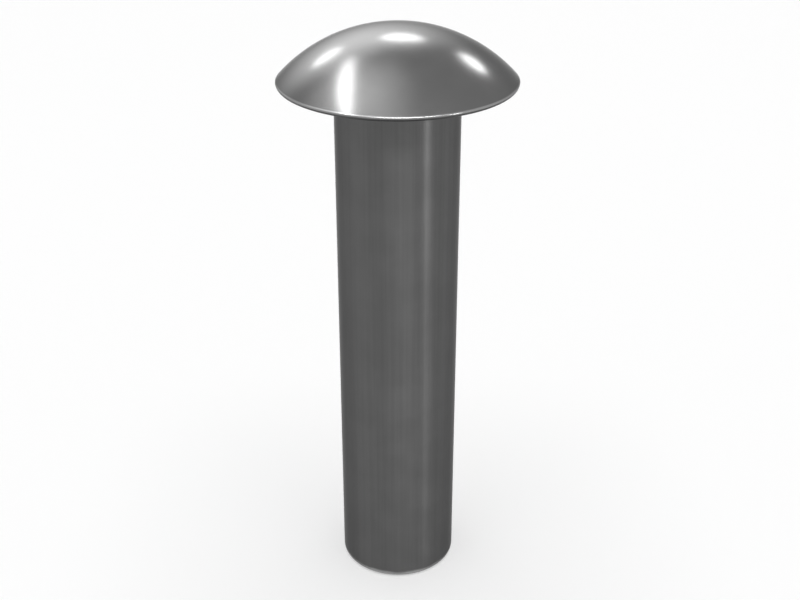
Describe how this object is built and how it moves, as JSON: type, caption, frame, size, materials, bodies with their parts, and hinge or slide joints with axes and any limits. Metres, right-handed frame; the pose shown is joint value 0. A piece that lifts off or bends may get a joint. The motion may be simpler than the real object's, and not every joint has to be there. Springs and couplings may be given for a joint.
{
  "type": "hollow rivet",
  "caption": "Hollow rivet with a closed domed head and a straight shank bored deep from its end, to be rolled over behind the work.",
  "frame": {"origin": "centre of the head's flat underside, on the rivet's axis", "axes": "+Z along the rivet's axis from the shank towards the crown of the head; X and Y are free, because every surface is turned about Z"},
  "size_m": [0.0151, 0.015, 0.0391],
  "materials": {
    "steel": "satin, drawn and headed, with a fine polish on the head"
  },
  "bodies": {
    "root": {"rivet": "steel"}
  },
  "joints": []
}
